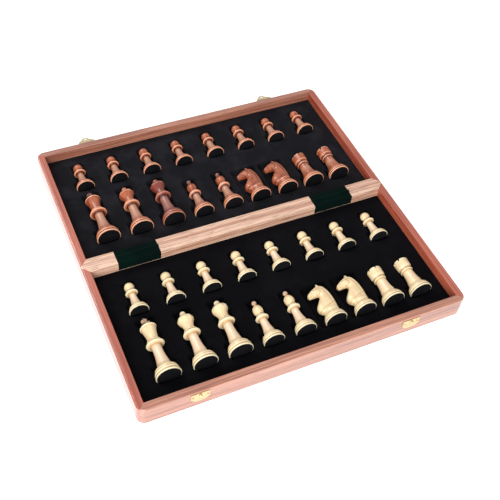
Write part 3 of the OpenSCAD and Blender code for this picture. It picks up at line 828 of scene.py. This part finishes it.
def lathe(name, outline, tip_from=np.inf, shape=None, sides=64):
    """Turns an outline of (radius, height) round the axis, with one point at each pole. shape may
    move the points, given as arrays of radius, angle and height. Over the height tip_from, the colour
    is the darker one of the tips."""
    line = soften(outline)
    fold = folds(line)
    around = np.linspace(0, 2 * np.pi, sides, endpoint=False)
    radius = np.repeat(line[1:-1, :1], sides, 1)
    height = np.repeat(line[1:-1, 1:], sides, 1)
    angle = np.repeat(around[None], len(radius), 0)
    if shape is not None:
        radius, angle, height = shape(radius, angle, height)
    rings = np.stack((radius * np.cos(angle), radius * np.sin(angle), height), -1)
    points = np.vstack((rings.reshape(-1, 3), [[0, 0, line[0, 1]], [0, 0, line[-1, 1]]]))
    index, after, quads = tube(len(rings), sides)
    low, high = len(points) - 2, len(points) - 1
    bottom = np.column_stack((np.full(sides, low), after[0], index[0]))
    top = np.column_stack((index[-1], after[-1], np.full(sides, high)))
    piece = surface(name, points, quads, bottom, top)
    out = np.hypot(points[:, 0], points[:, 1]) / line[:, 0].max()
    up = points[:, 2] / line[-1, 1]
    # fold carries the painted highlight and the painted shade, slim the painted sheen on the stems
    mark(
        piece,
        fold=np.concatenate((np.repeat(fold[1:-1], sides), fold[[0, -1]])),
        tip=np.clip((points[:, 2] - tip_from) / 0.0003, 0, 1),
        slim=np.clip((0.60 - out) / 0.14, 0, 1) * np.clip((0.60 - up) / 0.04, 0, 1),
    )
    smooth_all(piece)
    piece.data.set_sharp_from_angle(angle=np.radians(50))
    return piece


def lay_down(piece, node, turn=0.0):
    """Turns a standing piece about its own axis, then lays it where the chessman lies: its height
    becomes +Y with its head dipped by DIP, and its Y goes down."""
    x0, y0, axis, radius, height = seat_of(node)
    c, s = np.cos(turn), np.sin(turn)
    laid = Matrix(
        ((c, -s, 0, x0), (-s * DIP, -c * DIP, 1, y0), (-s, -c, -DIP, axis), (0, 0, 0, 1))
    )
    piece.data.transform(laid)
    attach(piece, node)


def felt_disc(node):
    """The felt: a disc 0.92 of the foot's radius, 0.85 mm thick, its edge cut off by 0.3 mm."""
    x0, y0, axis, radius, height = seat_of(node)
    r = 0.92 * radius
    piece = lathe(
        f"{node}_felt",
        [[0, 0], [r - 0.0003, 0], [r, 0.0003], [r, 0.00085], [0, 0.00085]],
        sides=48,
    )
    piece.data.materials.append(felt)
    lay_down(piece, node)


def lay_in_wood(piece, node, wood, turn=0.0):
    """Gives a piece its side's wood and lays it with the rest of the chessman."""
    piece.data.materials.append(WOODS[wood])
    lay_down(piece, node, turn)


def set_in_tray(piece, node, wood, turn=0.0):
    """Puts the turned piece in place of the CAD node, with its felt under the foot."""
    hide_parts(node)
    lay_in_wood(piece, node, wood, turn)
    felt_disc(node)


def pawn(node, wood, turn):
    """Foot, waisted stem, disc collar at 0.655 of the height, and a ball of radius 0.14 of it."""
    x0, y0, axis, r, h = seat_of(node)
    piece = lathe(
        f"{node}_turned",
        np.vstack(
            (
                foot(r, 0.28 * h, 0.46 * r),
                stem((0.46 * r, 0.28 * h), (0.33 * r, 0.62 * h), 0.03 * r),
                [[0.36 * r, 0.628 * h]],
                disc(0.64 * r, 0.02 * h, 0.655 * h),
                [[0.36 * r, 0.68 * h], [0.33 * r, 0.695 * h], [0.33 * r, 0.715 * h]],
                ball(0.14 * h, 0.86 * h, -62),
            )
        ),
    )
    set_in_tray(piece, node, wood, turn)


for side in ("light", "dark"):
    for k in range(1, 9):
        pawn(f"{side}_pawn_{k}", side, 0.8 * k)

# The rooks: four, a stout stem under a ring and a cup, whose rim has six gaps sawn
# into it round a flat floor.


def rook(node, wood, turn):
    """The rim's gaps are lowered parts of the turned ring: heights over 0.945 h fall to it where
    |cos 3a| is near 1."""
    x0, y0, axis, r, h = seat_of(node)

    def sawn(radius, angle, height):
        gap = np.clip((np.abs(np.cos(3 * angle)) - 0.93) / 0.04, 0, 1)
        return radius, angle, height - gap * np.maximum(0, height - 0.945 * h)

    piece = lathe(
        f"{node}_turned",
        np.vstack(
            (
                foot(r, 0.31 * h, 0.6 * r),
                stem((0.6 * r, 0.31 * h), (0.46 * r, 0.66 * h), 0.04 * r),
                disc(0.56 * r, 0.018 * h, 0.685 * h),
                [[0.47 * r, 0.71 * h], [0.47 * r, 0.735 * h], [0.56 * r, 0.765 * h]],
                [[0.615 * r, 0.785 * h], [0.63 * r, 0.82 * h], [0.62 * r, 0.828 * h]],
                [[0.635 * r, 0.838 * h], [0.64 * r, 0.9 * h], [0.645 * r, 0.95 * h]],
                [[0.645 * r, 0.985 * h], [0.625 * r, h - 0.0001], [0.48 * r, h - 0.0001]],
                [[0.46 * r, 0.985 * h], [0.45 * r, 0.94 * h], [0.43 * r, 0.932 * h], [0, 0.93 * h]],
            )
        ),
        shape=sawn,
        sides=96,
    )
    set_in_tray(piece, node, wood, turn)


for side in ("light", "dark"):
    for k in (1, 2):
        rook(f"{side}_rook_{k}", side, 0.5 * k)

# The bishops: four, a slim stem, a collar with a smaller ring on it, and a mitre
# with a slanting saw cut, topped by a small ball coloured darker.


def bishop(node, wood, turn):
    """The mitre is an ellipse of 0.47 r by 0.13 h; points in the slanting band of the saw cut are
    drawn in towards the axis."""
    x0, y0, axis, r, h = seat_of(node)
    top = np.radians(np.arange(-50, 71, 5))

    def cut(radius, angle, height):
        x = radius * np.cos(angle)
        band = np.abs(height - 0.815 * h - 0.7 * (x - 0.25 * r)) / (0.012 * h)
        inside = np.clip(1.6 - band, 0, 1) * (x > 0.06 * r) * (height < 0.88 * h)
        return radius * (1 - 0.42 * inside), angle, height

    piece = lathe(
        f"{node}_turned",
        np.vstack(
            (
                foot(r, 0.26 * h, 0.5 * r),
                stem((0.5 * r, 0.26 * h), (0.34 * r, 0.54 * h), 0.05 * r),
                [[0.36 * r, 0.548 * h]],
                disc(0.62 * r, 0.02 * h, 0.575 * h),
                [[0.4 * r, 0.598 * h]],
                disc(0.47 * r, 0.016 * h, 0.62 * h),
                [[0.33 * r, 0.642 * h], [0.32 * r, 0.65 * h]],
                np.column_stack((0.47 * r * np.cos(top), 0.76 * h + 0.13 * h * np.sin(top))),
                [[0.15 * r, 0.892 * h], [0.13 * r, 0.9 * h]],
                ball(0.05 * h, 0.95 * h, -64),
            )
        ),
        tip_from=0.895 * h,
        shape=cut,
        sides=96,
    )
    set_in_tray(piece, node, wood, turn)


for side in ("light", "dark"):
    for k in (1, 2):
        bishop(f"{side}_bishop_{k}", side, -1.1 - 0.3 * k)

# The queens: four, one of each side a spare. A tall stem, a broad collar, and a
# cup whose rim is filed into eight points round a domed top with a small ball.


def queen(node, wood, turn):
    """The rim's points: between them the shoulder of the cup is filed in by 10 % and down by 0.01 h,
    as 1 - |sin 4a|."""
    x0, y0, axis, r, h = seat_of(node)

    def filed(radius, angle, height):
        near = np.exp(-(((height - 0.825 * h) / (0.02 * h)) ** 2))
        wave = 1 - np.abs(np.sin(4 * angle))
        return radius * (1 - 0.10 * near * wave), angle, height - 0.010 * h * near * wave

    piece = lathe(
        f"{node}_turned",
        np.vstack(
            (
                foot(r, 0.23 * h, 0.5 * r),
                stem((0.5 * r, 0.23 * h), (0.37 * r, 0.54 * h), 0.05 * r),
                [[0.39 * r, 0.54 * h]],
                disc(0.7 * r, 0.015 * h, 0.561 * h),
                [[0.41 * r, 0.578 * h], [0.39 * r, 0.602 * h]],
                disc(0.53 * r, 0.009 * h, 0.616 * h),
                [[0.42 * r, 0.628 * h], [0.41 * r, 0.634 * h]],
                stem((0.41 * r, 0.638 * h), (0.65 * r, 0.795 * h), 0.08 * r),
                [[0.66 * r, 0.805 * h], [0.667 * r, 0.817 * h], [0.655 * r, 0.831 * h]],
                [[0.61 * r, 0.846 * h], [0.56 * r, 0.858 * h], [0.5 * r, 0.867 * h]],
                [[0.42 * r, 0.877 * h], [0.3 * r, 0.884 * h], [0.2 * r, 0.888 * h], [0.17 * r, 0.891 * h]],
                ball(0.046 * h, 0.935 * h, -66),
            )
        ),
        shape=filed,
        sides=96,
    )
    set_in_tray(piece, node, wood, turn)


queen("light_queen_1", "light", 0.2)
queen("light_queen_2", "light", 0.5)
queen("dark_queen_1", "dark", 0.1)
queen("dark_queen_2", "red", 0.3)

# The kings: two, a tall stem, a broad collar, a bell-shaped crown with a domed
# top, and on it a cross cut from a flat piece, coloured darker.


def king(node, wood, turn):
    """Turned like the queen, with a plain crown. The cross is a flat outline whose arms widen
    outwards, 0.24 r thick, its edges rounded."""
    x0, y0, axis, r, h = seat_of(node)
    piece = lathe(
        f"{node}_turned",
        np.vstack(
            (
                foot(r, 0.23 * h, 0.5 * r),
                stem((0.5 * r, 0.23 * h), (0.38 * r, 0.52 * h), 0.05 * r),
                [[0.4 * r, 0.525 * h]],
                disc(0.72 * r, 0.015 * h, 0.546 * h),
                [[0.42 * r, 0.563 * h], [0.40 * r, 0.586 * h]],
                disc(0.545 * r, 0.009 * h, 0.600 * h),
                [[0.43 * r, 0.612 * h], [0.42 * r, 0.618 * h]],
                stem((0.43 * r, 0.622 * h), (0.585 * r, 0.81 * h), 0.04 * r),
                [[0.595 * r, 0.818 * h]],
                disc(0.655 * r, 0.013 * h, 0.838 * h),
                [[0.58 * r, 0.858 * h], [0.56 * r, 0.864 * h]],
                [[0.5 * r, 0.873 * h], [0.4 * r, 0.882 * h], [0.3 * r, 0.888 * h], [0.2 * r, 0.892 * h]],
                [[0.1 * r, 0.894 * h], [0, 0.8945 * h]],
            )
        ),
    )
    set_in_tray(piece, node, wood, turn)
    low, mid = 0.888 * h, 0.946 * h
    half = [
        (0.14 * r, low), (0.12 * r, low + 0.012 * h), (0.10 * r, mid - 0.014 * h),
        (0.22 * r, mid - 0.018 * h), (0.355 * r, mid - 0.027 * h), (0.355 * r, mid + 0.027 * h),
        (0.22 * r, mid + 0.018 * h), (0.10 * r, mid + 0.014 * h), (0.12 * r, mid + 0.028 * h),
        (0.20 * r, h - 0.0001), (0.0, h - 0.0001),
    ]
    flat = np.array(half + [(-u, v) for u, v in half[-2::-1]])
    n, thick = len(flat), 0.12 * r
    points = np.vstack(
        [np.column_stack((flat[:, 0], np.full(n, y), flat[:, 1])) for y in (-thick, thick)]
    )
    k = np.arange(n)
    sides = np.column_stack((k + n, (k + 1) % n + n, (k + 1) % n, k))
    cross = surface(f"{node}_cross", points, [k], [k[::-1] + n], sides)
    mark(cross, fold=0.5, tip=1.0, slim=0.0)
    lay_in_wood(cross, node, wood, turn)
    rounding = cross.modifiers.new("rounding", "BEVEL")
    rounding.width = 0.0006
    rounding.segments = 4
    rounding.harden_normals = False
    rounding.limit_method = "ANGLE"


king("light_king", "light", 0.6)
king("dark_king", "dark", 0.5)

# The knights: four, a horse's head carved from a flat block on a turned foot. The
# mane, the jaw and the eye are cut with a gouge, then the whole is waxed.


def knight(node, wood):
    """The foot is turned. The head is a row of closed rounded sections, each from a front point to
    a back point of the side view and with its own half thickness; its sides are
    sign(sin) |sin|^0.7 wide, and gouge lines are pressed into them. An ear is a leaf of rings that
    widens from 0.55 to 1 and closes as sqrt(1 - level^1.7)."""
    x0, y0, axis, r, h = seat_of(node)
    base = lathe(
        f"{node}_turned",
        np.vstack(
            (
                foot(r, 0.27 * h, 0.7 * r)[:-1],
                [[0.7 * r, 0.27 * h], [0.66 * r, 0.279 * h], [0, 0.28 * h]],
            )
        ),
    )
    set_in_tray(base, node, wood)
    rows = np.array(
        [
            # front x, front z, back x, back z, half thickness; shares of the height
            (-0.165, 0.245, 0.160, 0.245, 0.110),
            (-0.200, 0.275, 0.170, 0.270, 0.121),
            (-0.245, 0.315, 0.178, 0.300, 0.125),
            (-0.260, 0.360, 0.181, 0.345, 0.125),
            (-0.255, 0.410, 0.184, 0.395, 0.124),
            (-0.225, 0.462, 0.188, 0.455, 0.120),
            (-0.170, 0.530, 0.190, 0.530, 0.112),
            (-0.119, 0.592, 0.187, 0.610, 0.104),
            (-0.080, 0.645, 0.178, 0.690, 0.099),
            (-0.066, 0.683, 0.162, 0.765, 0.096),
            (-0.085, 0.702, 0.142, 0.825, 0.093),
            (-0.120, 0.708, 0.112, 0.890, 0.090),
            (-0.150, 0.707, 0.070, 0.928, 0.087),
            (-0.181, 0.704, 0.010, 0.943, 0.084),
            (-0.200, 0.702, -0.063, 0.930, 0.080),
            (-0.220, 0.699, -0.115, 0.908, 0.075),
            (-0.240, 0.697, -0.160, 0.888, 0.070),
            (-0.258, 0.697, -0.205, 0.862, 0.066),
            (-0.273, 0.700, -0.245, 0.835, 0.062),
            (-0.290, 0.715, -0.281, 0.810, 0.056),
            (-0.300, 0.735, -0.298, 0.785, 0.048),
            (-0.304, 0.752, -0.3035, 0.768, 0.030),
        ]
    )
    sections, around = 70, 60
    at = np.linspace(0, len(rows) - 1, sections)
    whole = np.clip(at.astype(int), 0, len(rows) - 2)
    t = (at - whole)[:, None]
    longer = np.vstack((2 * rows[0] - rows[1], rows, 2 * rows[-1] - rows[-2]))
    p0, p1, p2, p3 = (longer[whole + k] for k in range(4))
    bend = 2 * p0 - 5 * p1 + 4 * p2 - p3
    twist = 3 * p1 - p0 - 3 * p2 + p3
    smooth = 0.5 * h * (2 * p1 + (p2 - p0) * t + bend * t**2 + twist * t**3)
    turn = np.linspace(0, 2 * np.pi, around, endpoint=False)[None]
    c, s = np.cos(turn), np.sin(turn)
    across = np.sign(c) * np.abs(c) ** 0.85
    front_x, front_z, back_x, back_z, half_thick = smooth.T[:, :, None]
    u = (front_x + back_x) / 2 + (back_x - front_x) / 2 * across
    v = (front_z + back_z) / 2 + (back_z - front_z) / 2 * across
    w = half_thick * np.sign(s) * np.abs(s) ** 0.7
    x, z = u / h, v / h
    to_back = np.hypot(u - back_x, v - back_z) / h

    def gouge(distance, width, depth):
        return -depth * np.exp(-((distance / width) ** 2))

    neck = np.clip((z - 0.42) / 0.06, 0, 1) * np.clip((0.02 + x) / 0.05 + 1, 0, 1)
    # the line along the mane, and its locks
    press = gouge(to_back - 0.085, 0.012, 0.0006) * neck
    press += 0.00018 * np.sin(190 * (z + 0.35 * x)) * np.clip((0.08 - to_back) / 0.02, 0, 1) * neck
    # the round cheek and the line behind it
    press -= gouge(np.hypot((x + 0.085) / 0.05, (z - 0.79) / 0.055), 1, 0.0006)
    press += gouge(np.hypot(x + 0.085, z - 0.79) - 0.075, 0.012, 0.0006) * (x > -0.13)
    # the eye in its socket
    press += gouge(np.hypot((x + 0.135) / 1.3, z - 0.855), 0.015, 0.0008)
    press -= gouge(np.hypot((x + 0.135) / 1.4, z - 0.852) - 0.027, 0.01, 0.0003)
    # the nostril, the mouth and the line over the chest
    press += gouge(np.hypot(x + 0.280, z - 0.785), 0.012, 0.0007)
    press += gouge(z - 0.735 + 0.15 * (x + 0.3), 0.008, 0.0007) * np.clip((-0.22 - x) / 0.02, 0, 1)
    press += gouge(z - 0.36 - 0.35 * (x + 0.05), 0.012, 0.0005) * (x < 0.16)
    w = w + np.sign(w) * press * np.clip(np.abs(s) * 1.6 - 0.35, 0, 1)
    points = np.stack((u, w, v), -1)
    ends = points[[0, -1]].mean(1)
    index, after, quads = tube(*u.shape)
    bottom = np.column_stack((index[0], after[0], np.full(around, index.size)))
    nose = np.column_stack((after[-1], index[-1], np.full(around, index.size + 1)))
    head = surface(
        f"{node}_head", np.vstack((points.reshape(-1, 3), ends)), quads[:, ::-1], bottom, nose
    )
    # the gouge lines go into the painted shade, the raised cheek a little towards the painted highlight
    fold = 0.5 + np.clip(press / 0.0012, -0.42, 0.2)
    mark(head, fold=np.append(fold.ravel(), [0.5, 0.5]), tip=0.0)
    smooth_all(head)
    lay_in_wood(head, node, wood)
    level = np.linspace(0, 1, 12)[:, None]
    size = np.sqrt(1 - level**1.7) * (0.55 + 0.45 * np.sqrt(np.minimum(level * 4, 1)))
    ring, beside, sides = tube(len(level) - 1, around)
    point = np.column_stack((ring[-1], beside[-1], np.full(around, ring.size)))
    shade = 0.5 - 0.3 * np.exp(-(((level[:-1] - 0.5) / 0.3) ** 2)) * (c < -0.6)
    for hand, way in (("left", -1), ("right", 1)):
        rings = np.stack(
            (
                (0.020 + 0.028 * size * c - 0.026 * level) * h,
                (way * (0.036 - 0.012 * level) + 0.019 * size * s) * h,
                (0.915 + 0.083 * level) * h + 0 * c,
            ),
            -1,
        )
        ear = surface(
            f"{node}_ear_{hand}",
            np.vstack((rings[:-1].reshape(-1, 3), rings[-1].mean(0))),
            sides,
            point,
            ring[:1, ::-1],
        )
        mark(ear, fold=np.append(shade.ravel(), 0.5), tip=0.0)
        smooth_all(ear)
        lay_in_wood(ear, node, wood)


for side in ("light", "dark"):
    for k in (1, 2):
        knight(f"{side}_knight_{k}", side)
